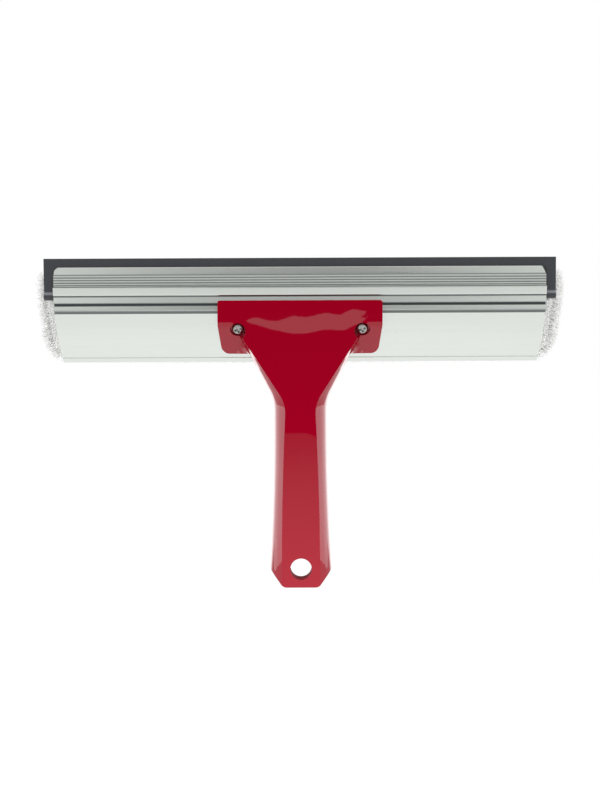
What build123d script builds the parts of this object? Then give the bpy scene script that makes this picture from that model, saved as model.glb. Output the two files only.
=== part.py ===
from build123d import *

import os
from math import cos, pi, radians, sin

# Window squeegee with a plush washing pad on its back. Millimetres.
# X runs along the blade, -Y is the front (handle and metal side), +Y the pad side, +Z up.
# The origin is the middle of the hanging hole in the end of the handle.

os.makedirs("parts", exist_ok=True)

# ---- driving dimensions ----------------------------------------------------
blade_length = 300.0
blade_edge_z = 183.0          # height of the wiping edge above the hanging hole
blade_thickness = 2.5
bead_radius = 2.4
bead_depth = 21.9             # bead centre below the wiping edge
slide_clearance = 0.1         # between the rubber and its channel

profile_length = 288.0
metal = 1.5                   # wall of the extrusion
jaw_top = -5.3                # the rest of the section is measured down from the edge
jaw_half = blade_thickness / 2 + slide_clearance + metal
jaw_corner = 3.6              # rounded corners of the front jaw, seen from the front
section_fillet = 0.35         # of the outer corners of the extrusion
grip_rib_radius = 0.55
grip_rib_top = -10.6
grip_rib_pitch = 1.55
grip_rib_count = 4
bulge_top, bulge_bottom = -16.6, -22.0
bulge_front, bulge_foot = -5.2, -4.4
band_bottom, band_front = -26.3, -3.7
groove_bottom, groove_front = -27.9, -1.9
bead_line_bottom, bead_line_front = -30.4, -3.1
channel_back = 4.1            # back of the metal round the rubber's bead
channel_back_top = -18.1
jaw_back_foot = -16.5

skirt_radius = 48.3           # the skirt under the jaw is an arc that curves to the back
skirt_start = (-0.6, -33.0)
skirt_start_angle = 18.0      # of its tangent from the vertical
skirt_end_angle = 57.0
lip_end = (22.3, -60.9)

board_start = (2.4, -29.5)    # upper inner edge of the pad's board
board_end = (20.6, -58.2)
board_thickness = 2.5
board_clearance = 0.15
hook_depth = 3.5              # how far the metal hooks hold the board's edges
hook_wall = 1.25

screw_angle = 25.5            # where on the skirt's arc the screws stand
screw_spacing = 72.6
screw_radius = 1.75
screw_length = 9.5
screw_head_radius = 3.5
screw_head_height = 2.6
screw_head_fillet = 2.0
screw_point_chamfer = 1.2
recess_span = 4.2             # of the cross recess
recess_width = 1.3
recess_depth = 1.6
recess_turn = 20              # degrees the recess stands turned
screw_hole_clearance = 0.05
strip_hole_clearance = 0.03
drill_lift = 2.0              # the drill starts this far off the skirt
screw_floor = 4.5             # plastic under the screw's head
counterbore_radius = 4.65
strip_length = 92.0
strip_width = 10.0
strip_thickness = 1.2
strip_gap = 0.02              # between the strip and the skirt's inside
strip_corner = 2.5

handle_end_z = -11.0
plate_top_z = 158.0
plate_half = 48.0
plate_bottom_half = 46.4
ear_bottom_z = 126.8
ear_corner = 4.8
crease_z = 143.5              # where the ears turn back along the skirt
handle_front = -7.6
grip_back = 6.4
grip_half_end = 18.9
# right side of the front view, from the plate's top corner down to the end
side_points = ((47.3, plate_top_z), (39.0, crease_z), (15.4, 99.8), (grip_half_end, handle_end_z))
facet_points = ((46.3, plate_top_z), (38.4, crease_z), (8.6, 97.5), (11.3, handle_end_z))
grip_bow = 1.05               # hollow of the grip's sides
facet_bow = -0.75             # the front widens a little below the neck
neck_fillet = 26.0
facet_fillet = 20.0
bevel_depth = 11.2            # how far behind the front the sides are at their widest
# rounded sides, as steps between the front's outline and the sides' outline:
# how far outwards and how far back, both as shares
side_steps = ((0.0, 0.0), (0.40, 0.24), (0.72, 0.50), (0.92, 0.76), (1.0, 1.0))
# hollow rounding between the neck's sides and the ears, in the same shares
valley_steps = ((0.96, 0.55), (1.35, 0.82), (2.3, 1.15), (4.2, 1.5))
end_flat_half = 10.4
end_corner_z = -0.8
end_fillet = 4.2
ear_foot_y = 9.4              # front of the ears at their lower edge
crease_fillet = 5.0
neck_back_z = 92.0            # where the neck starts to deepen towards the head
neck_back_bow = 3.4
skirt_foot_angle = 55.0       # where the neck's back meets the skirt
handle_wall = 2.6
handle_reach = 60.0           # beyond the handle on any side, for cutting
hole_radius = 6.35
boss_radius = 9.0
boss_back = 2.4               # the hanging hole is shorter than the grip is deep
ribs_from_z = 7.0
rib_thickness = 1.6
rib_x = 4.7
hollow_width = 56.0           # the hollow stops short of the screws
plate_corner = 1.5
skirt_gap = 0.03              # between the handle and the metal
cross_ribs = (12.0, 38.0, 66.0, 94.0, 112.0, 130.0, 146.0)
counterbore_mouth = 13.0      # above the skirt, clear of the plate's front

foam_half = 144.0
cover_half = 152.0
foam_setback = 4.2            # of the foam's foot from the board's edges
cover_gap = 0.5               # between the cover and the metal hooks
cover_fillet = 3.5
cover_end_fillet = 2.5


def arc_point(radius, angle):
    """Point of a circle about the skirt's centre, by the angle of its tangent."""
    a = radians(angle)
    centre_y = skirt_start[0] + skirt_radius * cos(radians(skirt_start_angle))
    centre_s = skirt_start[1] + skirt_radius * sin(radians(skirt_start_angle))
    return (centre_y - radius * cos(a), centre_s - radius * sin(a))


def skirt_arc(radius, first, last):
    """Arc about the skirt's centre from one tangent angle to another, in the head's section."""
    middle = (first + last) / 2
    return ThreePointArc(arc_point(radius, first), arc_point(radius, middle), arc_point(radius, last))


def front_view(behind):
    """Plane of the front view at Y = behind: its x is X, its y is Z, and it extrudes forwards."""
    return Plane.XZ.offset(-behind)


def head_plane(x=0.0):
    """Section plane: its x is Y, its y is the height above the wiping edge."""
    return Plane(origin=(x, 0, blade_edge_z), x_dir=(0, 1, 0), z_dir=(1, 0, 0))


def board_plane():
    """Section plane of the pad: its x runs down along the board, its y towards the pad's face."""
    along = (0, board_end[0] - board_start[0], board_end[1] - board_start[1])
    origin = (0, board_start[0], blade_edge_z + board_start[1])
    return Plane(origin=origin, x_dir=along, z_dir=(1, 0, 0))


def screw_plane(x, lift):
    """Plane across a screw's axis, lifted off the skirt's front by lift."""
    y, s = arc_point(skirt_radius + lift, screw_angle)
    a = radians(screw_angle)
    return Plane(origin=(x, y, blade_edge_z + s), x_dir=(1, 0, 0), z_dir=(0, -cos(a), -sin(a)))


def finish(builder, name):
    """Label a piece and write it to its file."""
    builder.part.label = name
    export_step(builder.part, f"parts/{name}.step")


board_width = (Vector(*board_end) - Vector(*board_start)).length
screw_sides = (-screw_spacing / 2, screw_spacing / 2)
centre_radius = skirt_radius - metal / 2

# ---- rubber blade ----------------------------------------------------------
with BuildPart() as blade_rubber:
    with BuildSketch(head_plane()):
        with Locations((0, -bead_depth / 2)):
            Rectangle(blade_thickness, bead_depth)
        with Locations((0, -bead_depth)):
            Circle(bead_radius)
    extrude(amount=blade_length / 2, both=True)

# ---- aluminium head profile ------------------------------------------------
with BuildPart() as head_profile:
    with BuildSketch(head_plane()) as section:
        with BuildLine():
            Polyline(
                (-jaw_half, jaw_top),
                (-jaw_half, bulge_top),
                (bulge_front, bulge_top - 0.6),
                (bulge_foot, bulge_bottom + 0.4),
                (band_front, bulge_bottom),
                (band_front, band_bottom),
                (groove_front, band_bottom),
                (groove_front, groove_bottom),
                (bead_line_front, groove_bottom),
                (bead_line_front, bead_line_bottom),
                arc_point(skirt_radius, skirt_start_angle),
                arc_point(skirt_radius - metal, skirt_start_angle),
                (0.6, band_bottom - 1.0),
                (channel_back, band_bottom + 0.6),
                (channel_back, channel_back_top),
                (jaw_half, jaw_back_foot),
                (jaw_half, jaw_top),
                close=True,
            )
        make_face()
        fillet(section.vertices().filter_by_position(Axis.X, -6, -1.8), section_fillet)
        for i in range(grip_rib_count):
            with Locations((-jaw_half, grip_rib_top - i * grip_rib_pitch)):
                Circle(grip_rib_radius)
        with BuildLine():
            skirt_arc(centre_radius, skirt_start_angle, skirt_end_angle)
        trace(line_width=metal)
        with BuildLine():
            Line(arc_point(centre_radius + 0.25, skirt_end_angle), lip_end)
        trace(line_width=metal)
        with Locations((0, (jaw_top - bead_depth) / 2)):
            Rectangle(blade_thickness + 2 * slide_clearance, bead_depth + jaw_top, mode=Mode.SUBTRACT)
        with Locations((0, -bead_depth)):
            Circle(bead_radius + slide_clearance, mode=Mode.SUBTRACT)
    with BuildSketch(board_plane()):
        outer = board_thickness + 2 * board_clearance
        for start, length in ((0.0, hook_depth), (board_width - hook_depth, hook_depth)):
            with Locations((start, outer)):
                Rectangle(length, hook_wall, align=(Align.MIN, Align.MIN))
        with Locations((-board_clearance, -hook_wall)):
            Rectangle(hook_wall, outer + 2 * hook_wall, align=(Align.MAX, Align.MIN))
        with Locations((-board_clearance, 0)):
            Rectangle(hook_depth, hook_wall, align=(Align.MIN, Align.MAX))
        with Locations((board_width + board_clearance, -hook_wall)):
            Rectangle(hook_wall, outer + 2 * hook_wall, align=(Align.MIN, Align.MIN))
        with Locations((-board_clearance, outer)):
            Rectangle(1.0, hook_wall, align=(Align.MIN, Align.MIN))
        with Locations((board_width + board_clearance, outer)):
            Rectangle(1.0, hook_wall, align=(Align.MAX, Align.MIN))
    extrude(amount=profile_length / 2, both=True)
    with BuildSketch(front_view(handle_reach)) as front_outline:
        with Locations((0, blade_edge_z + jaw_top)):
            Rectangle(profile_length, 2 * handle_reach, align=(Align.CENTER, Align.MAX))
        fillet(front_outline.vertices().group_by(Axis.Y)[-1], jaw_corner)
    extrude(amount=2 * handle_reach, mode=Mode.INTERSECT)
    for x in screw_sides:
        with Locations(screw_plane(x, drill_lift)):
            Hole(screw_radius + screw_hole_clearance, depth=3 * drill_lift)

# ---- steel strip behind the skirt, which the screws bite -------------------
half_width_angle = 90 * strip_width / (pi * (skirt_radius - metal))
strip_radius = skirt_radius - metal - strip_gap - strip_thickness / 2
with BuildPart() as backing_strip:
    with BuildSketch(head_plane()):
        with BuildLine():
            skirt_arc(strip_radius, screw_angle - half_width_angle, screw_angle + half_width_angle)
        trace(line_width=strip_thickness)
    extrude(amount=strip_length / 2, both=True)
    fillet(backing_strip.edges().filter_by(lambda edge: edge.length < strip_thickness + 0.1)
           .filter_by(Axis.X, reverse=True), strip_corner)
    for x in screw_sides:
        with Locations(screw_plane(x, drill_lift)):
            Hole(screw_radius + strip_hole_clearance, depth=4 * drill_lift)

# ---- two cross-recess screws -----------------------------------------------
with BuildPart() as screw:
    with BuildSketch(Plane.XY):
        Circle(screw_radius)
    extrude(amount=-screw_length)
    chamfer(screw.edges().sort_by(Axis.Z)[0], screw_point_chamfer)
    with BuildSketch(Plane.XY):
        Circle(screw_head_radius)
    extrude(amount=screw_head_height)
    fillet(screw.edges().sort_by(Axis.Z)[-1], screw_head_fillet)
    with BuildSketch(Plane.XY.offset(screw_head_height)):
        Rectangle(recess_span, recess_width, rotation=recess_turn)
        Rectangle(recess_width, recess_span, rotation=recess_turn)
    extrude(amount=-recess_depth, mode=Mode.SUBTRACT)

with BuildPart() as handle_screws:
    for x in screw_sides:
        with Locations(screw_plane(x, screw_floor)):
            add(screw.part)

# ---- pad: board, foam, plush cover -----------------------------------------
with BuildPart() as pad_board:
    with BuildSketch(board_plane()):
        with Locations((0, board_clearance)):
            Rectangle(board_width, board_thickness, align=(Align.MIN, Align.MIN))
    extrude(amount=foam_half, both=True)

foam_floor = board_thickness + board_clearance
cover_floor = foam_floor + board_clearance + hook_wall + cover_gap
foam_foot = (foam_setback, board_width - foam_setback)
foam_shoulder = cover_floor + 2.5


def foam_section():
    """Section of the foam, in the board's plane."""
    with BuildSketch(board_plane()) as drawing:
        with BuildLine():
            Polyline(
                (foam_foot[0], foam_floor),
                (foam_foot[1], foam_floor),
                (foam_foot[1], foam_shoulder),
                (board_width, foam_shoulder + 1.5),
                (board_width, 17.0),
                (10.0, 20.0),
                (-10.0, 17.8),
                (-12.6, 14.0),
                (-2.5, foam_shoulder + 1.0),
                (foam_foot[0], foam_shoulder),
                close=True,
            )
        make_face()
    return drawing.sketch


def cover_section():
    """Section of the plush cover, out to the tips of its pile."""
    with BuildSketch(board_plane()) as drawing:
        with BuildLine():
            Polyline(
                (board_width, cover_floor),
                (board_width + 6.5, 8.5),
                (board_width + 5.0, 20.0),
                (10.0, 26.0),
                (-16.5, 22.6),
                (-18.8, 13.8),
                (-2.0, cover_floor),
                close=True,
            )
        make_face()
        fillet(drawing.vertices().filter_by_position(Axis.X, -20, -10), cover_fillet)
        lower_end = drawing.vertices().filter_by_position(Axis.X, board_width + 2, board_width + 10)
        fillet(lower_end, cover_fillet)
    return drawing.sketch


with BuildPart() as pad_foam:
    extrude(foam_section(), amount=foam_half, both=True)

with BuildPart() as pad_cover:
    extrude(cover_section(), amount=foam_half, both=True)
    add(pad_foam.part, mode=Mode.SUBTRACT)

with BuildPart() as pad_end_right:
    extrude(cover_section(), amount=cover_half)
    with BuildSketch(Plane.YZ):
        Rectangle(blade_length, 2 * blade_edge_z)
    extrude(amount=foam_half, mode=Mode.SUBTRACT)
    fillet(pad_end_right.faces().sort_by(Axis.X)[-1].edges(), cover_end_fillet)

with BuildPart() as pad_end_left:
    add(pad_end_right.part.mirror(Plane.YZ))

# ---- handle ----------------------------------------------------------------
skirt_gap_radius = skirt_radius + skirt_gap
head_front = band_front - skirt_gap


def between(first, second, share):
    """Value, or point, at a share of the way from the first to the second."""
    if isinstance(first, tuple):
        return tuple(between(a, b, share) for a, b in zip(first, second))
    return first + (second - first) * share


def bar_outline(outward, back, inset=0.0):
    """Outline of the neck and grip: its right side, mirrored to the left.

    outward is the share of the way from the front's outline to the sides' outline, and back is
    the share of the depth at which it lies.
    """
    top, crease, foot, end = between(facet_points, side_points, outward)
    bow = between(facet_bow, grip_bow, outward)
    corner_radius = between(facet_fillet, neck_fillet, outward)
    with BuildSketch(front_view(handle_front + bevel_depth * back + inset)) as outline:
        with BuildLine():
            Polyline((0, top[1]), top, crease, foot)
            ThreePointArc(foot, ((foot[0] + end[0]) / 2 - bow, (foot[1] + end[1]) / 2), end)
            Line(end, (0, end[1]))
            mirror(about=Plane.YZ)
        make_face()
        corners = outline.vertices().filter_by_position(Axis.Y, foot[1] - 1, foot[1] + 1)
        fillet(corners, corner_radius)
        if inset:
            offset(amount=-inset, kind=Kind.INTERSECTION)
    return outline.sketch


def end_outline(inset):
    """Front view of the whole handle's space, with the two cut corners of the grip's end."""
    with BuildSketch(front_view(handle_reach)) as outline:
        with BuildLine():
            Polyline(
                (0, plate_top_z),
                (handle_reach, plate_top_z),
                (handle_reach, crease_z / 2),
                (grip_half_end - inset, end_corner_z),
                (end_flat_half - inset, handle_end_z + inset),
                (0, handle_end_z + inset),
            )
            mirror(about=Plane.YZ)
        make_face()
        if not inset:
            fillet(outline.vertices().group_by(Axis.Y)[0], end_fillet)
            cut = outline.vertices().filter_by_position(Axis.Y, end_corner_z - 1, end_corner_z + 1)
            fillet(cut, end_fillet)
    return outline.sketch


def stepped_bar(steps, inset=0.0):
    """Solid between the outlines of the steps given, as straight-sided slices."""
    with BuildPart() as bar:
        outlines = [bar_outline(outward, back, inset) for outward, back in steps]
        for front, behind in zip(outlines, outlines[1:]):
            loft([front, behind], ruled=True)
        extrude(outlines[-1], amount=-handle_reach)
    return bar.part


def handle_blank(inset, steps):
    """Neck and grip as a solid bar whose sides round off in steps, drawn in by inset all round."""
    with BuildPart() as blank:
        add(stepped_bar(steps, inset))
        extrude(end_outline(inset), amount=2 * handle_reach, mode=Mode.INTERSECT)
    return blank.part


def behind_outline(first_z):
    """Section of the space the handle must leave free: the metal head and the back of the grip."""
    skirt_foot, skirt_middle, skirt_top = (
        Vector(*arc_point(skirt_gap_radius, angle)) + Vector(0, blade_edge_z)
        for angle in (skirt_foot_angle, (skirt_foot_angle + skirt_start_angle) / 2, skirt_start_angle)
    )
    neck_middle = (grip_back + neck_back_bow, neck_back_z + 16)
    neck_foot = skirt_foot - Vector(0.6, 2.0)
    with BuildSketch(Plane.YZ) as outline:
        with BuildLine():
            Polyline(
                (handle_reach, first_z),
                (grip_back, first_z),
                (grip_back, neck_back_z),
            )
            ThreePointArc((grip_back, neck_back_z), neck_middle, neck_foot)
            Line(neck_foot, skirt_foot)
            ThreePointArc(skirt_foot, skirt_middle, skirt_top)
            Polyline(
                skirt_top,
                (head_front, blade_edge_z + bead_line_bottom),
                (head_front, plate_top_z + 1),
                (handle_reach, plate_top_z + 1),
                (handle_reach, first_z),
            )
        make_face()
    return outline.sketch


with BuildPart() as ears:
    with BuildSketch(front_view(handle_reach)) as ear_outline:
        with BuildLine():
            Polyline(
                (0, plate_top_z),
                (plate_half, plate_top_z),
                (plate_half, crease_z),
                (plate_bottom_half, ear_bottom_z),
                (0, ear_bottom_z),
            )
            mirror(about=Plane.YZ)
        make_face()
        fillet(ear_outline.vertices().group_by(Axis.Y)[-1], plate_corner)
        fillet(ear_outline.vertices().group_by(Axis.Y)[0], ear_corner)
    extrude(amount=2 * handle_reach)
    with BuildPart(mode=Mode.PRIVATE) as valley:
        add(stepped_bar(valley_steps))
        extrude(ear_outline.sketch, amount=2 * handle_reach, mode=Mode.INTERSECT)
    with BuildSketch(Plane.YZ) as ear_side:
        with BuildLine():
            Polyline(
                (handle_front, plate_top_z),
                (handle_front, crease_z),
                (ear_foot_y, ear_bottom_z),
                (handle_reach, ear_bottom_z),
                (handle_reach, plate_top_z),
                close=True,
            )
        make_face()
        fillet(ear_side.vertices().filter_by_position(Axis.X, handle_front - 1, handle_front + 1)
               .group_by(Axis.Y)[0], crease_fillet)
    extrude(amount=handle_reach, both=True, mode=Mode.INTERSECT)

straight_side = (side_steps[0], side_steps[-1])
with BuildPart() as hollow:
    add(handle_blank(handle_wall, straight_side))
    with BuildSketch(front_view(handle_reach)):
        with Locations((0, (plate_top_z + handle_end_z) / 2 - handle_wall)):
            Rectangle(hollow_width, plate_top_z - handle_end_z)
    extrude(amount=2 * handle_reach, mode=Mode.INTERSECT)

with BuildPart() as ribs:
    with BuildSketch(front_view(handle_reach)):
        for x in (-rib_x, rib_x):
            with Locations((x, ribs_from_z)):
                Rectangle(rib_thickness, plate_top_z - ribs_from_z, align=(Align.CENTER, Align.MIN))
        for z in cross_ribs:
            with Locations((0, z)):
                Rectangle(hollow_width + 1, rib_thickness)
    extrude(amount=2 * handle_reach)
    with BuildSketch(front_view(boss_back)):
        Circle(boss_radius)
    extrude(amount=handle_reach)
    add(handle_blank(handle_wall / 2, straight_side), mode=Mode.INTERSECT)
    extrude(behind_outline(handle_end_z - 5), amount=handle_reach, both=True, mode=Mode.SUBTRACT)

with BuildPart() as handle:
    add(handle_blank(0.0, side_steps))
    add(ears.part)
    add(valley.part)
    extrude(behind_outline(handle_end_z - 5), amount=handle_reach, both=True, mode=Mode.SUBTRACT)
    add(hollow.part, mode=Mode.SUBTRACT)
    add(ribs.part)
    with Locations(front_view(handle_front)):
        Hole(hole_radius)
    for x in screw_sides:
        with Locations(screw_plane(x, counterbore_mouth)):
            CounterBoreHole(
                radius=screw_radius + 0.15,
                counter_bore_radius=counterbore_radius,
                counter_bore_depth=counterbore_mouth - screw_floor,
                depth=counterbore_mouth + 1,
            )

for piece, name in (
    (handle, "handle"),
    (blade_rubber, "blade_rubber"),
    (head_profile, "head_profile"),
    (backing_strip, "backing_strip"),
    (handle_screws, "handle_screws"),
    (pad_board, "pad_board"),
    (pad_foam, "pad_foam"),
    (pad_cover, "pad_cover"),
    (pad_end_left, "pad_end_left"),
    (pad_end_right, "pad_end_right"),
):
    finish(piece, name)
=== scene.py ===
# %% [markdown]
# # A window squeegee with a plush washing pad
#
# The tool has five finishes that have to be told apart at a glance: red gloss plastic, satin
# aluminium, dark rubber, bright screws and deep white plush. The solid model already holds the
# right sizes, so this lesson loads it as a fixed frame, and builds finer surfaces and all the
# finishes round it. Long pieces are a section carried along the tool, worked out with numpy.

import bpy
import numpy as np
from mathutils import Matrix, Vector


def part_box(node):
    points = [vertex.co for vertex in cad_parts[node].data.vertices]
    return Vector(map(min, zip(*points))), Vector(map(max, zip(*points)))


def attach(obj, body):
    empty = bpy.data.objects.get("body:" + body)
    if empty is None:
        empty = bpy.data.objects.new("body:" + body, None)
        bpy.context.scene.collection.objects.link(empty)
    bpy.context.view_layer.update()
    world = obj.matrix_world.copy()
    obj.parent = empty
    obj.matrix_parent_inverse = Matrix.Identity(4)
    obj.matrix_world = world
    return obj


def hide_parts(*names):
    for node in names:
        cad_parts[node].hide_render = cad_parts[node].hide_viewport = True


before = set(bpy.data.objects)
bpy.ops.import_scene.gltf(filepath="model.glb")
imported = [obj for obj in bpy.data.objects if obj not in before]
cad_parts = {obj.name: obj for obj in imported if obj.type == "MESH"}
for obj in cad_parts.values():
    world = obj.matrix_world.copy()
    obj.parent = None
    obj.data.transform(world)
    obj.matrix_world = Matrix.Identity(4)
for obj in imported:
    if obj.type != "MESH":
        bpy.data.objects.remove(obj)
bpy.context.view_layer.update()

# %% [markdown]
# ## Driving sizes
#
# Everything is placed from the frame's boxes. The rubber's box gives the wiping edge and the
# blade's length, the profile's box gives the length of the metal. Later cells give the sections
# of the metal and the pad in millimetres, with heights measured down from the wiping edge.

# %% Sizes read from the frame
MM = 0.001
blade_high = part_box("blade_rubber")[1]
metal_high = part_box("head_profile")[1]
edge_z = blade_high.z
metal_half = metal_high.x
blade_half = blade_high.x
print("wiping edge at", round(edge_z, 4), "metal half length", round(metal_half, 4))

# %% [markdown]
# ## The camera
#
# A straight view of the front from a little above, from 0.65 m away. The lens is chosen so that
# 0.47 m of height fills the frame at that distance. The camera is rolled by a quarter of a
# degree, so that the blade is not dead level.

# %% Camera
view_distance = 0.65
view_height = 0.4727
view_tilt = np.radians(3.5)
view_roll = np.radians(0.25)
aim = Vector((-0.0002, 0.0, 0.0995))
sensor = 36.0

camera_data = bpy.data.cameras.new("view")
camera_data.sensor_width = sensor
camera_data.lens = sensor * view_distance / view_height
camera = bpy.data.objects.new("view", camera_data)
bpy.context.scene.collection.objects.link(camera)
away = Vector((0.0, -np.cos(view_tilt), np.sin(view_tilt)))
turn = away.to_track_quat("Z", "Y").to_matrix() @ Matrix.Rotation(-view_roll, 3, "Z")
camera.matrix_world = Matrix.Translation(aim + away * view_distance) @ turn.to_4x4()
bpy.context.scene.camera = camera
bpy.context.scene.view_settings.view_transform = "Standard"
print("lens", round(camera_data.lens, 2))

# %% [markdown]
# ## Writing shader sums as Python
#
# A finish is a formula: a base value plus a little noise, masked here and there. The class below
# wraps one output socket, so that `0.3 + 0.1 * noise` adds the Math nodes by itself. Every other
# node comes from one function that takes its type, its settings and the values of its sockets.

# %% Shader helper


class Wire:
    """One output socket of a node tree, with the operators that a formula needs."""

    def __init__(self, tree, socket):
        self.tree = tree
        self.socket = socket

    def maths(self, operation, *values):
        """A Math node on this wire and the values given."""
        made = self.tree.nodes.new("ShaderNodeMath")
        made.operation = operation
        for slot, value in zip(made.inputs, values):
            feed(self.tree, slot, value)
        return Wire(self.tree, made.outputs[0])

    def __add__(self, other):
        return self.maths("ADD", self, other)

    def __radd__(self, other):
        return self.maths("ADD", other, self)

    def __sub__(self, other):
        return self.maths("SUBTRACT", self, other)

    def __rsub__(self, other):
        return self.maths("SUBTRACT", other, self)

    def __mul__(self, other):
        return self.maths("MULTIPLY", self, other)

    def __rmul__(self, other):
        return self.maths("MULTIPLY", other, self)

    def absolute(self):
        return self.maths("ABSOLUTE", self)

    def below(self, limit):
        return self.maths("LESS_THAN", self, limit)


def feed(tree, slot, value):
    """Puts a wire or a plain value into an input socket."""
    if isinstance(value, Wire):
        tree.links.new(value.socket, slot)
    else:
        slot.default_value = value


def add_node(tree, kind, settings=None, **inputs):
    """One node: its settings first, then its inputs, whose names use _ for a space."""
    made = tree.nodes.new(kind)
    for key, value in (settings or {}).items():
        setattr(made, key, value)
    for key, value in inputs.items():
        feed(tree, made.inputs[key.replace("_", " ")], value)
    return made


def start_material(name, base, roughness, **constants):
    """A material with its main shader; the constants are set on the shader's own sockets."""
    material = bpy.data.materials.new(name)
    material.use_nodes = True
    tree = material.node_tree
    shader = tree.nodes["Principled BSDF"]
    shader.inputs["Base Color"].default_value = (*base, 1.0)
    shader.inputs["Roughness"].default_value = roughness
    for key, value in constants.items():
        shader.inputs[key.replace("_", " ")].default_value = value
    place = add_node(tree, "ShaderNodeTexCoord")
    return material, tree, shader, Wire(tree, place.outputs["Object"])


def stored_value(tree, name):
    """A value that the mesh stores at each of its points under a name."""
    made = add_node(tree, "ShaderNodeAttribute", {"attribute_name": name})
    return Wire(tree, made.outputs["Fac"])


def along_axis(tree, place, axis):
    """One coordinate of a place: X, Y or Z."""
    parts = add_node(tree, "ShaderNodeSeparateXYZ", Vector=place)
    return Wire(tree, parts.outputs[axis])


def noise(tree, place, scale, stretch=(1.0, 1.0, 1.0), detail=3.0):
    """A noise value from 0 to 1 on object coordinates, stretched along an axis."""
    mapped = add_node(tree, "ShaderNodeMapping", Vector=place, Scale=stretch)
    made = add_node(tree, "ShaderNodeTexNoise", Vector=Wire(tree, mapped.outputs[0]), Scale=scale,
                    Detail=detail)
    return Wire(tree, made.outputs["Fac"])


def blend_colours(tree, amount, first, second):
    """A colour between two, by an amount from 0 to 1."""
    made = add_node(tree, "ShaderNodeMix", {"data_type": "RGBA"})
    feed(tree, made.inputs["Factor"], amount)
    feed(tree, made.inputs[6], first if isinstance(first, Wire) else (*first, 1.0))
    feed(tree, made.inputs[7], second if isinstance(second, Wire) else (*second, 1.0))
    return Wire(tree, made.outputs[2])


def bump(tree, shader, height, strength, distance):
    """Feeds a height into the shader's normal; one unit of it is distance metres of relief."""
    made = add_node(tree, "ShaderNodeBump", Height=height, Strength=strength, Distance=distance)
    tree.links.new(made.outputs["Normal"], shader.inputs["Normal"])


print("shader helper ready")

# %% [markdown]
# ## Red gloss plastic
#
# A glossy moulding shows two things: a mirror of the room, bent by a very slight waviness of the
# mould, and shallow sink lines on the front, over the ribs behind it. Both are relief, so they go
# through one Bump node. The colour itself is one plain red, and a fine grain varies the roughness.

# %% Red plastic
red_base = (0.245, 0.0004, 0.0105)
sink_heights = (0.012, 0.038, 0.066)
sink_width = 0.0011
sink_depth = 0.12
rib_line_x = 0.0047
wave_scale = 26.0
fine_scale = 900.0


def red_plastic():
    """Gloss red: its mirror is bent by slow waves, with a sink line over each cross rib."""
    material, tree, shader, place = start_material("red_plastic", red_base, 0.03, IOR=1.49,
                                                   Specular_IOR_Level=0.5)
    height = along_axis(tree, place, "Z")
    between_ribs = along_axis(tree, place, "X").absolute().below(rib_line_x)
    lines = sum((height - line).absolute().below(sink_width) * between_ribs for line in sink_heights)
    waves = noise(tree, place, wave_scale, (1.0, 1.0, 0.7), 1.0)
    grain = noise(tree, place, fine_scale)
    bump(tree, shader, waves - sink_depth * lines + 0.001 * grain, 0.30, 0.0008)
    feed(tree, shader.inputs["Roughness"], 0.006 + 0.012 * grain)
    return material


red = red_plastic()
print("red plastic", len(red.node_tree.nodes), "nodes")

# %% [markdown]
# ## Satin aluminium
#
# Extruded aluminium carries fine lines along its length from the die, and anodising leaves it
# satin. The noise is drawn out some 60 times along X, so it becomes streaks, which drive the
# roughness, the colour and a very small relief. The grooves are darkened with painted shade: the
# head's mesh stores how much shade each point gets, in the attribute painted_shade_and_highlight,
# and the finish reads it.

# %% Aluminium
metal_dull = (0.665, 0.70, 0.665)
metal_bright = (0.765, 0.795, 0.755)
# painted shade: the dark colour that the grooves are blended towards
painted_groove_shade = (0.035, 0.045, 0.048)
streak_stretch = (0.016, 1.0, 1.0)


def satin_aluminium():
    """Anodised metal with streaks along X, and painted shade where the mesh stores it."""
    material, tree, shader, place = start_material("satin_aluminium", metal_bright, 0.34, Metallic=1.0)
    streaks = noise(tree, place, 420.0, streak_stretch, 4.0)
    cloud = noise(tree, place, 9.0)
    painted_shade_and_highlight = stored_value(tree, "painted_shade_and_highlight")
    unshaded = blend_colours(tree, 0.5 * streaks + 0.4 * cloud, metal_dull, metal_bright)
    # painted shade: the grooves are darkened by the value the head's mesh stores
    feed(tree, shader.inputs["Base Color"], blend_colours(tree, painted_shade_and_highlight, unshaded, painted_groove_shade))
    feed(tree, shader.inputs["Roughness"], 0.24 + 0.12 * streaks + 0.2 * painted_shade_and_highlight)
    bump(tree, shader, streaks, 0.10, 0.0002)
    return material


aluminium = satin_aluminium()
print("aluminium", len(aluminium.node_tree.nodes), "nodes")

# %% [markdown]
# ## Rubber, steel, board and foam
#
# These finishes are one recipe with different numbers: fine noise wanders between two colours and
# two roughnesses, and gives a little relief. Rubber is dark and matt, with a painted highlight, a
# pale line along the top of its bead: its mesh stores that line in the attribute
# painted_shade_and_highlight. The screws are bright. The steel strip, the board and the foam are
# only seen when the pad is pulled out.

# %% Small finishes
broad_share = 0.06
# painted highlight: the pale colour of the line along the top of the rubber's bead
painted_highlight_colour = (0.24, 0.25, 0.27)


def speckled(name, dark, light, roughness, spread, scale, relief, **constants):
    """A finish that wanders between two colours and two roughnesses with fine noise."""
    material, tree, shader, place = start_material(name, light, roughness, **constants)
    fine = noise(tree, place, scale, detail=4.0)
    broad = noise(tree, place, scale * broad_share)
    feed(tree, shader.inputs["Base Color"], blend_colours(tree, 0.6 * fine + 0.4 * broad, dark, light))
    feed(tree, shader.inputs["Roughness"], roughness + spread * (fine - 0.5))
    bump(tree, shader, fine, 0.25, relief)
    return material


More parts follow.
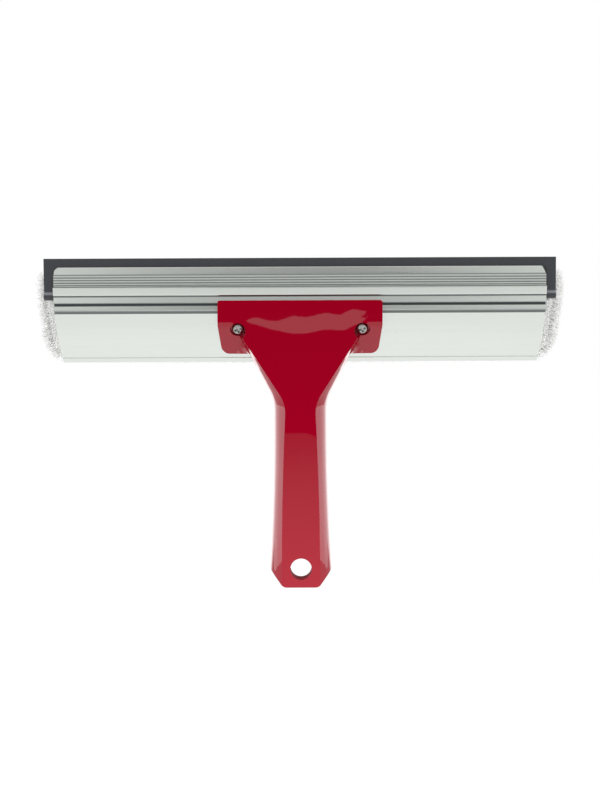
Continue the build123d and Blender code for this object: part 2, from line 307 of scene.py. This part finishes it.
def rubber_with_painted_highlight():
    """Dark rubber, with a painted highlight where the mesh stores it."""
    material = speckled("blade_rubber", (0.017, 0.019, 0.023), (0.032, 0.034, 0.040), 0.45, 0.2,
                        fine_scale, 0.00012)
    tree = material.node_tree
    colour = tree.nodes["Principled BSDF"].inputs["Base Color"]
    plain = Wire(tree, colour.links[0].from_socket)
    # painted highlight: the rubber turns pale where the stored value is high, along the bead's top
    highlighted = blend_colours(tree, 0.8 * stored_value(tree, "painted_shade_and_highlight"), plain, painted_highlight_colour)
    feed(tree, colour, highlighted)
    return material


rubber = rubber_with_painted_highlight()
bright = speckled("screw_plating", (0.26, 0.26, 0.25), (0.50, 0.49, 0.47), 0.16, 0.1, fine_scale,
                  0.00001, Metallic=1.0)
zinc = speckled("zinc_strip", (0.5, 0.52, 0.54), (0.7, 0.71, 0.72), 0.38, 0.2, 260.0, 0.00005,
                Metallic=1.0)
board = speckled("board_plastic", (0.72, 0.73, 0.73), (0.84, 0.85, 0.85), 0.5, 0.1, 300.0, 0.00005)
foam = speckled("foam_cells", (0.62, 0.55, 0.33), (0.85, 0.8, 0.6), 0.95, 0.05, 700.0, 0.0006)
print("small finishes made:", ", ".join(finish.name for finish in (rubber, bright, zinc, board, foam)))

# %% [markdown]
# ## Meshes from grids
#
# A surface is a grid of points: rows run round a section, columns run along the tool. One
# function turns such a grid into quads, closed round the section, with an end face at each side.

# %% Grid to mesh
usual_crease = 32.0
no_crease = 180.0


def build_mesh(name, points, faces, material, sharp=usual_crease):
    """A mesh object from points in metres and faces of any size, shaded smooth below an angle."""
    mesh = bpy.data.meshes.new(name)
    mesh.from_pydata(points.reshape(-1, 3).tolist(), [], faces)
    mesh.shade_smooth()
    mesh.set_sharp_from_angle(angle=np.radians(sharp))
    mesh.materials.append(material)
    piece = bpy.data.objects.new(name, mesh)
    bpy.context.scene.collection.objects.link(piece)
    return piece


def wrap_quads(rows, columns):
    """Quads of a grid of rows by columns that is closed round its rows."""
    row, column = np.meshgrid(np.arange(rows), np.arange(columns - 1), indexing="ij")
    after = (row + 1) % rows
    corners = (row * columns + column, row * columns + column + 1,
               after * columns + column + 1, after * columns + column)
    return np.stack(corners, axis=-1).reshape(-1, 4)


def carry_section(name, section, reach, stations, material):
    """Carries a closed section along X.

    section holds (y, z) points in order round the outline, reach is how far each point goes
    along X on both sides, and stations are the fractions of that reach, from -1 to 1.
    A point of the surface is (fraction * reach of the section point, y, z). The sign of the
    section's area tells which way round it runs, and so which way the faces must look.
    """
    rows, columns = len(section), len(stations)
    x = np.outer(reach, stations)
    y = np.repeat(section[:, :1], columns, axis=1)
    z = np.repeat(section[:, 1:], columns, axis=1)
    points = np.stack((x, y, z), axis=-1)
    ring = np.arange(rows) * columns
    faces = wrap_quads(rows, columns)
    after = np.roll(section, -1, axis=0)
    area = np.sum(section[:, 0] * after[:, 1] - after[:, 0] * section[:, 1])
    low_end, high_end = ring.tolist(), (ring + columns - 1).tolist()
    if area < 0:
        high_end.reverse()
    else:
        faces = faces[:, ::-1]
        low_end.reverse()
    return build_mesh(name, points, faces.tolist() + [low_end, high_end], material)


def round_corners(corners, radii, steps):
    """Rounds each corner of a closed outline with an arc that touches both its sides.

    The arc is drawn as the curve that starts and ends where a circle of that radius touches the
    sides, with the corner itself as its handle.
    """
    corners = np.array(corners, dtype=float)
    back = np.roll(corners, 1, axis=0) - corners
    on = np.roll(corners, -1, axis=0) - corners
    back_length = np.linalg.norm(back, axis=1, keepdims=True)
    on_length = np.linalg.norm(on, axis=1, keepdims=True)
    cosine = np.sum(back * on, axis=1, keepdims=True) / (back_length * on_length)
    half_turn = np.tan((np.pi - np.arccos(np.clip(cosine, -1, 1))) / 2)
    wanted = np.array(radii, dtype=float)[:, None] * half_turn
    cut = np.minimum(wanted, 0.45 * np.minimum(back_length, on_length))
    start = corners + back / back_length * cut
    end = corners + on / on_length * cut
    t = np.linspace(0, 1, steps)[None, :, None]
    curve = (1 - t) ** 2 * start[:, None] + 2 * t * (1 - t) * corners[:, None] + t ** 2 * end[:, None]
    flat = curve.reshape(-1, 2)
    step = np.linalg.norm(flat - np.roll(flat, 1, axis=0), axis=1)
    return flat[step > 1e-6]


print("grid helpers ready")

# %% [markdown]
# ## The aluminium head
#
# The real head is one extrusion. From the front it reads as a stack of bands: a flat jaw, four
# fine ribs, a round bulge over the rubber's bead, a band, a dark groove, a thin ridge, and a
# skirt that curves away to the back and ends in a lip. The die leaves tiny radii on every edge,
# and they are what catches the light, so the section is drawn again here with each corner
# rounded. First come its sizes, and two functions that give points on the skirt's arc and points
# by the pad's board, which slides between two hooks of the metal.

# %% Sizes of the head's section
jaw_top = -5.3
jaw_half = 2.85
jaw_corner = 3.6
ribs_from = -10.6
rib_pitch = 1.55
rib_count = 4
rib_depth = 0.3
rib_half = 0.6
slot_half = 1.35
bead_centre = -21.9
bead_room = 2.5
wall = 1.5
skirt_radius = 48.3
skirt_start = np.radians(18.0)
skirt_end = np.radians(57.0)
skirt_top = np.array((-0.6, -33.0))
skirt_centre = skirt_top + skirt_radius * np.array((np.cos(skirt_start), np.sin(skirt_start)))
lip_end = np.array((22.3, -60.9))
board_from = np.array((2.4, -29.5))
board_to = np.array((20.6, -58.2))
board_width = np.linalg.norm(board_to - board_from)
along_board = (board_to - board_from) / board_width
off_board = np.array((-along_board[1], along_board[0]))
board_play = 0.15
board_room = 2.8
hook_wall = 1.25
hook_depth = 3.5
hook_back = 4.05
hook_side = 1.4
longest_side = 0.5


def skirt_points(radius, first, last, count=26):
    """Points of an arc about the skirt's centre; the angle is that of the arc's tangent."""
    angle = np.linspace(first, last, count)
    return skirt_centre - radius * np.stack((np.cos(angle), np.sin(angle)), axis=1)


def on_board(along, off):
    """A point by its distance down the pad's board and its height off the board."""
    return board_from + along * along_board + off * off_board


print("the board is", round(float(board_width), 2), "mm wide")

# %% [markdown]
# ## The outline of the head
#
# The outline runs down the front, round the lip, up the inside of the skirt past the two hooks,
# and back over the channel that holds the rubber's bead. Each stretch is a short list of corners
# with one radius for all of them. After rounding, long sides are split into small steps, so that
# values stored at the points can change along them.

# %% Outline of the head


def metal_section():
    """Outline of the head, in millimetres: Y, and height above the wiping edge."""
    rib_steps = np.linspace(np.pi / 2, 1.5 * np.pi, 7)
    ribs = [(-jaw_half + rib_depth * np.cos(a), ribs_from - rib_pitch * i + rib_half * np.sin(a))
            for i in range(rib_count) for a in rib_steps]
    down_jaw = (0.0, 0.15, 0.35, 0.6, 0.8, 1.0)
    jaw_side = [(-jaw_half, jaw_top - jaw_corner * share) for share in down_jaw]
    back_side = [(jaw_half, jaw_top - jaw_corner * share) for share in reversed(down_jaw)]
    bands = [(-jaw_half, -16.6), (-5.2, -17.1), (-4.5, -21.7), (-3.4, -22.2), (-3.7, -26.3), (-1.9, -26.3),
             (-1.9, -27.9), (-3.1, -27.9), (-3.1, -30.4)]
    outer_skirt = skirt_points(skirt_radius, skirt_start, skirt_end)
    lip_from = skirt_points(skirt_radius + 0.3, skirt_end, skirt_end, 1)[0]
    across = np.array((lip_end - lip_from)[::-1]) * (-1, 1)
    across = across / np.linalg.norm(across)
    lip = [lip_from, lip_end - 0.7 * across, lip_end + 0.5 * across]
    lower_hook = [on_board(board_width + hook_side, 0.2), on_board(board_width + hook_side, hook_back),
                  on_board(board_width - hook_depth, hook_back),
                  on_board(board_width - hook_depth, board_room),
                  on_board(board_width + board_play, board_room), on_board(board_width + board_play, 0.3)]
    inner_skirt = skirt_points(skirt_radius - wall, skirt_end - 0.03, skirt_start)
    shelf_end = hook_depth - board_play
    upper_hook = [on_board(0.3, -hook_wall), on_board(shelf_end, -hook_wall), on_board(shelf_end, 0.0),
                  on_board(-board_play, 0.0), on_board(-board_play, board_room),
                  on_board(hook_depth, board_room), on_board(hook_depth, hook_back),
                  on_board(-hook_side, hook_back)]
    rear = [(4.1, -25.5), (4.1, -18.1), (jaw_half, -16.5)]
    slot_edge = np.arcsin(slot_half / bead_room)
    bead_angle = np.linspace(slot_edge, 2 * np.pi - slot_edge, 23)
    bead = [(bead_room * np.sin(a), bead_centre + bead_room * np.cos(a)) for a in bead_angle]
    soft = [(0.35, bands), (0.05, outer_skirt), (0.4, lip), (0.3, lower_hook), (0.05, inner_skirt),
            (0.3, upper_hook), (0.5, rear), (0.03, back_side), (0.25, [(slot_half, jaw_top)]), (0.02, bead),
            (0.25, [(-slot_half, jaw_top)])]
    corners = list(jaw_side) + ribs
    radii = [0.3] + [0.03] * (len(jaw_side) - 1) + [0.04] * len(ribs)
    for radius, points in soft:
        corners += [tuple(point) for point in points]
        radii += [radius] * len(points)
    return fill_in(round_corners(corners, radii, 4), longest_side)


def fill_in(outline, longest):
    """Splits each side of a closed outline into equal steps no longer than the longest."""
    after = np.roll(outline, -1, axis=0)
    parts = np.ceil(np.linalg.norm(after - outline, axis=1) / longest).astype(int)
    corner = np.repeat(np.arange(len(outline)), parts)
    step = np.arange(parts.sum()) - np.repeat(np.cumsum(parts) - parts, parts)
    share = (step / parts[corner])[:, None]
    return outline[corner] * (1 - share) + after[corner] * share


head_outline = metal_section()
print("head section", len(head_outline), "points")

# %% [markdown]
# ## The head as a mesh
#
# The section is carried along X. The jaw's two upper corners are rounded off by shortening the
# reach there. Each groove gets a value from 0 to 1 of painted shade, dark where shade falls in it,
# and the mesh stores it for the finish to read.

# %% Head with painted shade in its grooves
# centre, half height and amount of the painted shade in each groove
groove_places = ((-16.75, 0.35, 0.8), (-22.35, 0.45, 0.85), (-27.1, 0.9, 0.97), (-31.9, 1.5, 0.82))
ribbed_top, ribbed_bottom = -9.6, -16.0
front_limit = -1.0


def jaw_reach(section):
    """How far each section point reaches along X: full length, less the jaw's round corner."""
    depth = np.clip((jaw_top - section[:, 1]) / jaw_corner, 0.0, 1.0)
    return metal_half - MM * jaw_corner * (1 - np.sqrt(1 - (1 - depth) ** 2))


def groove_painted_shade(section):
    """How much painted shade each section point gets: 1 in a groove's floor, 0 on open faces.

    A groove with its centre, half height and amount adds
    amount * exp(-((s - centre) / half height) ** 4) at the height s. Between the fine ribs a
    cosine adds most half way from rib to rib. Only the front side of the head counts.
    """
    height = section[:, 1]
    painted_shade_and_highlight = np.zeros(len(section))
    for centre, half, amount in groove_places:
        painted_shade_and_highlight += amount * np.exp(-((height - centre) / half) ** 4)
    from_rib = (height - ribs_from) / rib_pitch
    ribbed = (height < ribbed_top) & (height > ribbed_bottom)
    painted_shade_and_highlight += ribbed * (0.42 + 0.30 * np.cos(2 * np.pi * (from_rib - 0.5)))
    return np.clip(painted_shade_and_highlight, 0, 1) * (section[:, 0] < front_limit)


head_points = head_outline * MM + (0.0, edge_z)
stations = np.linspace(-1, 1, 9)
head = carry_section("aluminium_head", head_points, jaw_reach(head_outline), stations, aluminium)
# the painted shade in the grooves is stored on the head's points
painted_shade_and_highlight = head.data.attributes.new("painted_shade_and_highlight", "FLOAT", "POINT")
painted_shade_and_highlight.data.foreach_set("value", np.repeat(groove_painted_shade(head_outline), len(stations)))
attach(head, "tool")
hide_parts("head_profile")
print("head", len(head.data.polygons), "faces")

# %% [markdown]
# ## The rubber blade
#
# A strip with square wiping edges and a round bead that the metal grips. Real rubber is never
# dead straight, so the free edge wanders by a few hundredths of a millimetre, less and less
# towards the metal. A pale line along the top of the bead is a painted highlight, and shows
# where the rubber's ends stick out of the metal.

# %% Rubber blade
bead_radius = 2.4
strip_half = 1.25
blade_steps = 121
# height and half height of the painted highlight along the bead
painted_highlight_height, painted_highlight_half = -20.4, 0.8
wander = 0.06
free_height = 5.0


def rubber_section():
    """Outline of the rubber: a strip that runs into a round bead."""
    neck = np.arcsin(strip_half / bead_radius)
    angle = np.linspace(neck, 2 * np.pi - neck, 25)
    bead = [(bead_radius * np.sin(a), bead_centre + bead_radius * np.cos(a)) for a in angle]
    corners = [(-strip_half, 0.0), (strip_half, 0.0)] + bead
    return round_corners(corners, [0.18, 0.18] + [0.05] * len(bead), 4)


def let_wander(piece):
    """Moves the free edge in Y by wander * sin(70 x) * sin(23 x + 1), x in metres."""
    places = np.empty(len(piece.data.vertices) * 3)
    piece.data.vertices.foreach_get("co", places)
    places = places.reshape(-1, 3)
    free = np.clip((places[:, 2] - edge_z) / (free_height * MM) + 1, 0, 1)
    places[:, 1] += wander * MM * free * np.sin(places[:, 0] * 70) * np.sin(places[:, 0] * 23 + 1)
    piece.data.vertices.foreach_set("co", places.ravel())
    piece.data.update()


rubber_outline = fill_in(rubber_section(), 0.6)
rubber_points = rubber_outline * MM + (0.0, edge_z)
blade = carry_section("rubber_strip", rubber_points, np.full(len(rubber_outline), blade_half),
                      np.linspace(-1, 1, blade_steps), rubber)
# the painted highlight along the bead is stored on the rubber's points
painted_highlight_line = np.exp(-((rubber_outline[:, 1] - painted_highlight_height) / painted_highlight_half) ** 4)
painted_highlight = blade.data.attributes.new("painted_shade_and_highlight", "FLOAT", "POINT")
painted_highlight.data.foreach_set("value", np.repeat(painted_highlight_line, blade_steps))
let_wander(blade)
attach(blade, "blade")
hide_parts("blade_rubber")
print("rubber section", len(rubber_outline), "points")

# %% [markdown]
# ## The plush cover
#
# The washing pad is a foam block in a plush sleeve, closed at both ends. The cloth under the pile
# is a section carried along X, fuller in the middle, and drawn in round the ends as a stuffed
# sleeve is. Its corners are given by their distance down the board and their height off it. The
# cloth's finish is hardly seen, because the pile stands on it.

# %% Cover cloth
cloth_corners = ((board_width - 0.6, 4.9), (board_width + 2.6, 8.6), (board_width + 1.4, 17.0),
                 (10.0, 21.6), (-12.6, 18.8), (-14.6, 13.6), (-2.4, 5.2))
cloth_radii = (1.0, 5.0, 6.0, 18.0, 5.0, 5.0, 1.0)
cloth_reach = 151.0
cloth_round = 8.0
cloth_middle = np.array((-6.0, 14.0))
end_share = 0.70
crown_share = 0.02
seam_x = 142.0
seam_pull, seam_half = 0.03, 1.2


def cloth_surface(around, along):
    """Points of the cloth as a grid, in millimetres: X, Y, and height above the wiping edge.

    around is a row of fractions round the section and along a row of positions on X. A section
    point stands at w times its distance from the section's middle. Over the last round part of
    the sleeve e goes from 0 to 1 and w = end share + (1 - end share) * sqrt(1 - e ** 2), and at
    the two last positions w is 0, which closes the ends. The middle is a little fuller, and a
    bell curve at each seam pulls the cloth in.
    """
    outline = round_corners(cloth_corners, cloth_radii, 9)
    closed = np.vstack((outline, outline[:1]))
    gone = np.concatenate(([0.0], np.cumsum(np.linalg.norm(np.diff(closed, axis=0), axis=1))))
    at = around * gone[-1]
    section = np.stack((np.interp(at, gone, closed[:, 0]), np.interp(at, gone, closed[:, 1])), axis=1)
    end = np.clip((np.abs(along) - (cloth_reach - cloth_round)) / cloth_round, 0, 1)
    width = end_share + (1 - end_share) * np.sqrt(1 - end ** 2)
    width[[0, -1]] = 0.0
    crown = 1 + crown_share * np.cos(along / cloth_reach * np.pi / 2)
    pull = 1 - seam_pull * np.exp(-((np.abs(along) - seam_x) / seam_half) ** 2)
    flat = cloth_middle + (section - cloth_middle)[:, None] * (width * crown * pull)[None, :, None]
    yz = board_from + flat[..., :1] * along_board + flat[..., 1:] * off_board
    x = np.broadcast_to(along[None, :, None], flat.shape[:2] + (1,))
    return np.concatenate((x, yz), axis=2)


around = np.arange(120) / 120
end_steps = cloth_round * np.sin(np.linspace(0, np.pi / 2, 9)) + cloth_reach - cloth_round
end_steps = np.append(end_steps, cloth_reach)
along = np.concatenate((-end_steps[::-1], np.linspace(-seam_x, seam_x, 90)[1:-1], end_steps))
cloth_points = cloth_surface(around, along) * MM + (0.0, 0.0, edge_z)
cloth_faces = wrap_quads(len(around), len(along))
plush_cloth = speckled("plush_cloth", (0.8, 0.8, 0.79), (0.9, 0.9, 0.89), 0.95, 0.05, 500.0, 0.0004)
cover = build_mesh("plush_cover", cloth_points, cloth_faces.tolist(), plush_cloth, no_crease)
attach(cover, "pad")
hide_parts("pad_cover", "pad_end_left", "pad_end_right")
print("cover cloth", len(cloth_faces), "faces")

# %% [markdown]
# ## The finish of the pile
#
# The mesh of each yarn stores 0 at its root and up to 1 at its tip, since little light reaches the
# roots. The finish blends two whites by that value, and adds a soft sheen.

# %% Pile finish
root_white = (0.86, 0.865, 0.84)
tip_white = (0.985, 0.985, 0.975)


def pile_finish():
    """White acrylic yarn, rough, with a sheen."""
    material, tree, shader, place = start_material(
        "plush_pile", (0.9, 0.9, 0.88), 0.9, Sheen_Weight=0.3, Sheen_Roughness=0.5)
    colour = blend_colours(tree, stored_value(tree, "shade"), root_white, tip_white)
    feed(tree, shader.inputs["Base Color"], colour)
    fine = noise(tree, place, 2500.0)
    feed(tree, shader.inputs["Roughness"], 0.82 + 0.15 * fine)
    bump(tree, shader, fine, 0.3, 0.0002)
    return material


pile = pile_finish()
print("pile finish", len(pile.node_tree.nodes), "nodes")

# %% [markdown]
# ## The pile
#
# Pile is thousands of soft yarn ends. Each is a thin three-sided spike, bent once: three points at
# the root, three half way, and the tip. All are worked out together as arrays: roots scattered on
# the cloth, a direction that is the cloth's normal plus some disorder, and a droop. A slow wave
# over the cloth, called lump, makes the yarns lie in tufts. Yarns that would stand against the
# board are cut short.

# %% Pile
yarn_length = 6.2
under_board = 0.25
facing_board = -0.9
yarn_radius = 0.34
disorder_share = 0.5
tuft_share = 0.35
end_push = 0.9
bend_share = 0.55
droop = (0.0, 0.0, -0.12)
batch_count = 8
batch_size = 20000
rng = np.random.default_rng(7)


def unit(vectors):
    """Vectors brought to length one."""
    return vectors / np.maximum(np.linalg.norm(vectors, axis=-1, keepdims=True), 1e-9)


def cloth_samples(count):
    """Random points on the cloth and the outward direction there.

    A cell of the cloth's grid with the sides u and v has the normal u x v, turned to look away
    from the sleeve's middle line. Cells are picked by their area |u x v|, and a point of the
    cell is corner + a u + b v, with a and b from 0 to 1.
    """
    grid = cloth_surface(around, along)
    corner = grid[:, :-1]
    u = np.roll(grid, -1, axis=0)[:, :-1] - corner
    v = grid[:, 1:] - corner
    normal = np.cross(u, v)
    area = np.linalg.norm(normal, axis=2)
    from_middle = corner - grid.mean(axis=(0, 1))
    side = np.sign(np.sum(normal[..., 1:] * from_middle[..., 1:], axis=2))
    outward = unit(normal) * side[..., None]
    pick = rng.choice(area.size, count, p=area.ravel() / area.sum())
    a, b = rng.random((2, count, 1))
    places = corner.reshape(-1, 3)[pick] + a * u.reshape(-1, 3)[pick] + b * v.reshape(-1, 3)[pick]
    return places, outward.reshape(-1, 3)[pick]


def yarn_lines(count):
    """Root, half-way point, tip and first direction of count yarns."""
    root, outward = cloth_samples(count)
    across, down = root[:, 1:2], root[:, 2:]
    lump = np.sin(root[:, :1] * 1.1 + 3 * np.sin(down * 0.9)) * np.sin(down * 1.3 + across)
    disorder = unit(rng.normal(size=root.shape))
    ends = np.clip((np.abs(root[:, :1]) - cloth_reach + cloth_round) / cloth_round, 0, 1)
    push = np.sign(root[:, :1]) * ends * (1.0, 0.0, 0.0)
    direction = unit(outward + disorder_share * disorder + tuft_share * lump * disorder[:, ::-1]
                     + end_push * push)
    length = yarn_length * (0.75 + 0.35 * rng.random((count, 1)) + 0.12 * lump)
    length[outward[:, 1:] @ off_board < facing_board] *= under_board
    bend = unit(direction + bend_share * unit(rng.normal(size=root.shape)) + droop)
    half = root + 0.5 * length * direction
    return root, half, half + 0.5 * length * bend, direction


def yarn_batch(name, count, finish):
    """One piece of pile: count yarns of nine triangles each."""
    root, half, tip, direction = yarn_lines(count)
    side = unit(np.cross(direction, unit(rng.normal(size=root.shape))))
    other = np.cross(direction, side)
    turn = (np.arange(3) * 2 * np.pi / 3)[None, :, None]
    ring = yarn_radius * (np.cos(turn) * side[:, None] + np.sin(turn) * other[:, None])
    points = np.concatenate((root[:, None] + ring, half[:, None] + 0.85 * ring, tip[:, None]), axis=1)
    low = np.array([[0, 1, 4], [0, 4, 3], [1, 2, 5], [1, 5, 4], [2, 0, 3], [2, 3, 5], [3, 4, 6],
                    [4, 5, 6], [5, 3, 6]])
    faces = (low[None] + points.shape[1] * np.arange(count)[:, None, None]).reshape(-1, 3)
    piece = build_mesh(name, points * MM + (0.0, 0.0, edge_z), faces.tolist(), finish, no_crease)
    shade = piece.data.attributes.new("shade", "FLOAT", "POINT")
    tone = 0.85 + 0.15 * rng.random((count, 1))
    shade.data.foreach_set("value", (np.array([0, 0, 0, 0.75, 0.75, 0.75, 1.0]) * tone).ravel())
    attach(piece, "pad")


yarn_count = batch_size // 1
for batch in range(batch_count):
    yarn_batch(f"plush_pile_{batch + 1}", yarn_count, pile)
print("pile of", batch_count * yarn_count, "yarns")

# %% [markdown]
# ## The moulded handle
#
# The handle's sides are rounded in steps. To shade them as one soft curve the steps have to share
# their points, so the handle's mesh is rebuilt here: points that coincide become one, and only
# edges sharper than 29 degrees stay crisp. The wall of the hanging hole gets a duller finish of
# the same red.

# %% Moulded handle
crisp_angle = 29.0
hang_radius = 6.35
wall_tolerance = 0.1
same_point = 1e-6


def merged_mesh(node):
    """Points and triangles of a frame piece, with every point stored once.

    Two points are the same when they agree to a thousandth of a millimetre; the triangles are
    renumbered to the points kept, and triangles that lost a corner go.
    """
    mesh = node.data
    mesh.calc_loop_triangles()
    points = np.empty(len(mesh.vertices) * 3)
    mesh.vertices.foreach_get("co", points)
    triangles = np.empty(len(mesh.loop_triangles) * 3, dtype=np.int32)
    mesh.loop_triangles.foreach_get("vertices", triangles)
    points = points.reshape(-1, 3)
    _, first, number = np.unique(np.round(points / same_point).astype(int), axis=0,
                                 return_index=True, return_inverse=True)
    triangles = number.reshape(-1)[triangles].reshape(-1, 3)
    whole = np.all(triangles != np.roll(triangles, -1, axis=1), axis=1)
    return points[first], triangles[whole]


def dull_red():
    """A rough version of the handle's red."""
    return speckled("red_plastic_rough", (0.20, 0.0004, 0.008), (0.28, 0.001, 0.014), 0.6, 0.2,
                    800.0, 0.00008, Specular_IOR_Level=0.02)


handle_points, handle_faces = merged_mesh(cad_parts["handle"])
handle = build_mesh("moulded_handle", handle_points, handle_faces.tolist(), red, crisp_angle)
handle.data.materials.append(dull_red())
corners = handle_points[handle_faces] / MM
spread = np.hypot(corners[..., 0], corners[..., 2])
hang_wall = np.all(np.abs(spread - hang_radius) < wall_tolerance, axis=1)
handle.data.polygons.foreach_set("material_index", hang_wall.astype(np.int32))
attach(handle, "tool")
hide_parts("handle")
print("handle", len(handle_faces), "triangles,", int(hang_wall.sum()), "in the hanging hole")

# %% [markdown]
# ## Frame pieces that keep their shape
#
# The screws, the strip behind the skirt, the board and the foam have the right shape already.
# They only get their finishes.

# %% Finishes on frame pieces
for node_name, finish in (("handle_screws", bright), ("backing_strip", zinc),
                          ("pad_board", board), ("pad_foam", foam)):
    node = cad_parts[node_name]
    node.data.materials.clear()
    node.data.materials.append(finish)
print("finishes put on frame pieces")

# %% [markdown]
# ## The room
#
# A white world and a pale floor light everything softly. Gloss also needs something to mirror, so
# cards that the camera never sees stand in front. A black card far off makes the plate deep red,
# and a bright shape on it is the window that the plate mirrors. A level table runs from the card
# to the floor and grows lighter on the way, and the grip mirrors it as a soft change of tone.

# %% Floor and cards
floor_z = -0.30
floor_front = -0.85
floor_half = 3.0
floor_glow = 0.12
room_front = -4.0
card_half, card_top = 0.75, 1.1
window_gap = 0.05
window_glow = 1.15
window_shape = ((-0.20, 0.182), (-0.04, 0.21), (0.17, 0.216), (0.23, 0.24), (0.27, 0.237),
                (0.25, 0.21), (0.28, 0.19), (0.20, 0.156), (-0.01, 0.156), (-0.17, 0.17))
table_bright_y = -1.2
table_dark, table_bright = 0.05, 0.75
black = (0.0, 0.0, 0.0)
world = bpy.data.worlds.new("white_room")
world.use_nodes = True
world.node_tree.nodes["Background"].inputs["Color"].default_value = (1.0, 1.0, 1.0, 1.0)
world.node_tree.nodes["Background"].inputs["Strength"].default_value = 1.0
bpy.context.scene.world = world


def flat_card(name, corners, colour, glow=0.0):
    """A flat card of one plain matt colour, which may glow white."""
    material = start_material(name, colour, 1.0, Specular_IOR_Level=0.0,
                              Emission_Color=(1.0, 1.0, 1.0, 1.0), Emission_Strength=glow)[0]
    return build_mesh(name, np.array(corners, dtype=float), [list(range(len(corners)))], material)


def upright(half_width, low, high, y):
    """Corners of a card that stands across the room at y."""
    return ((-half_width, y, low), (-half_width, y, high), (half_width, y, high), (half_width, y, low))


def level(half_width, front, behind, z):
    """Corners of a card that lies level at z."""
    return ((-half_width, front, z), (half_width, front, z), (half_width, behind, z),
            (-half_width, behind, z))


def brighten_backwards(card):
    """Makes a level card glow more and more from the far front of the room backwards."""
    tree = card.data.materials[0].node_tree
    shader = tree.nodes["Principled BSDF"]
    place = Wire(tree, add_node(tree, "ShaderNodeTexCoord").outputs["Object"])
    share = add_node(tree, "ShaderNodeMapRange", Value=along_axis(tree, place, "Y"), From_Min=room_front,
                     From_Max=table_bright_y, To_Min=table_dark, To_Max=table_bright)
    glow = blend_colours(tree, Wire(tree, share.outputs[0]), black, (1.0, 1.0, 1.0))
    feed(tree, shader.inputs["Emission Color"], glow)


floor = flat_card("floor", level(floor_half, floor_front, floor_half, floor_z), (0.9, 0.9, 0.9),
                  floor_glow)
table = flat_card("grey_table", level(floor_half, room_front, floor_front, floor_z),
                  (0.3, 0.3, 0.3), 1.0)
brighten_backwards(table)
card = flat_card("black_card", upright(card_half, floor_z, card_top, room_front), black)
window = flat_card("window", [(x, room_front + window_gap, z) for x, z in window_shape], black,
                   window_glow)
for unseen in (card, window, table):
    unseen.visible_camera = False
    unseen.visible_diffuse = unseen is table
print("floor, table, black card and window placed")

# %% [markdown]
# ## Side panels
#
# The grip's rounded sides mirror the room to the left and right of the tool. Two glowing panels on
# each side, one behind the tool and one beside it, give them the bright bands that show the
# rounding. Only mirrors see these panels.

# %% Side panels
side_glow = 2.6
panel_near, panel_far = 0.36, 1.6
panel_front, panel_back = -0.45, 1.2
panel_top = 1.2


def side_panels(side):
    """The two panels on one side: side is -1 on the left and 1 on the right."""
    near_x, far_x = panel_near * side, panel_far * side
    behind = [(near_x, panel_back, floor_z), (near_x, panel_back, panel_top),
              (far_x, panel_back, panel_top), (far_x, panel_back, floor_z)]
    beside = [(far_x, panel_back, floor_z), (far_x, panel_back, panel_top),
              (far_x, panel_front, panel_top), (far_x, panel_front, floor_z)]
    for corners in (behind, beside):
        panel = flat_card("side_panel", corners, black, side_glow)
        panel.visible_camera = False
        panel.visible_diffuse = False


for side in (-1, 1):
    side_panels(side)
print("side panels placed")

# %% [markdown]
# ## Lamps
#
# Three weak lamps lift what the white world leaves too dark: one low in front of the grip, and one
# on each side of the head. Neither the camera nor the gloss sees them.

# %% Lamps


def area_light(name, place, target, width, height, power, spread):
    """A rectangular lamp at a place, facing a target, whose light opens by spread degrees."""
    data = bpy.data.lights.new(name, "AREA")
    data.shape = "RECTANGLE"
    data.size = width
    data.size_y = height
    data.energy = power
    data.spread = np.radians(spread)
    lamp = bpy.data.objects.new(name, data)
    bpy.context.scene.collection.objects.link(lamp)
    facing = (Vector(target) - Vector(place)).to_track_quat("-Z", "Y").to_matrix().to_4x4()
    lamp.matrix_world = Matrix.Translation(place) @ facing
    lamp.visible_camera = False
    lamp.visible_glossy = False


area_light("low_fill", (0.0, -0.26, -0.17), (0.0, 0.0, -0.02), 0.16, 0.08, 0.14, 70.0)
for side in (-1, 1):
    area_light("side_fill", (0.55 * side, -0.25, 0.25), (0.15 * side, 0.0, 0.15), 0.3, 0.3, 0.35, 120.0)
print("lamps placed")
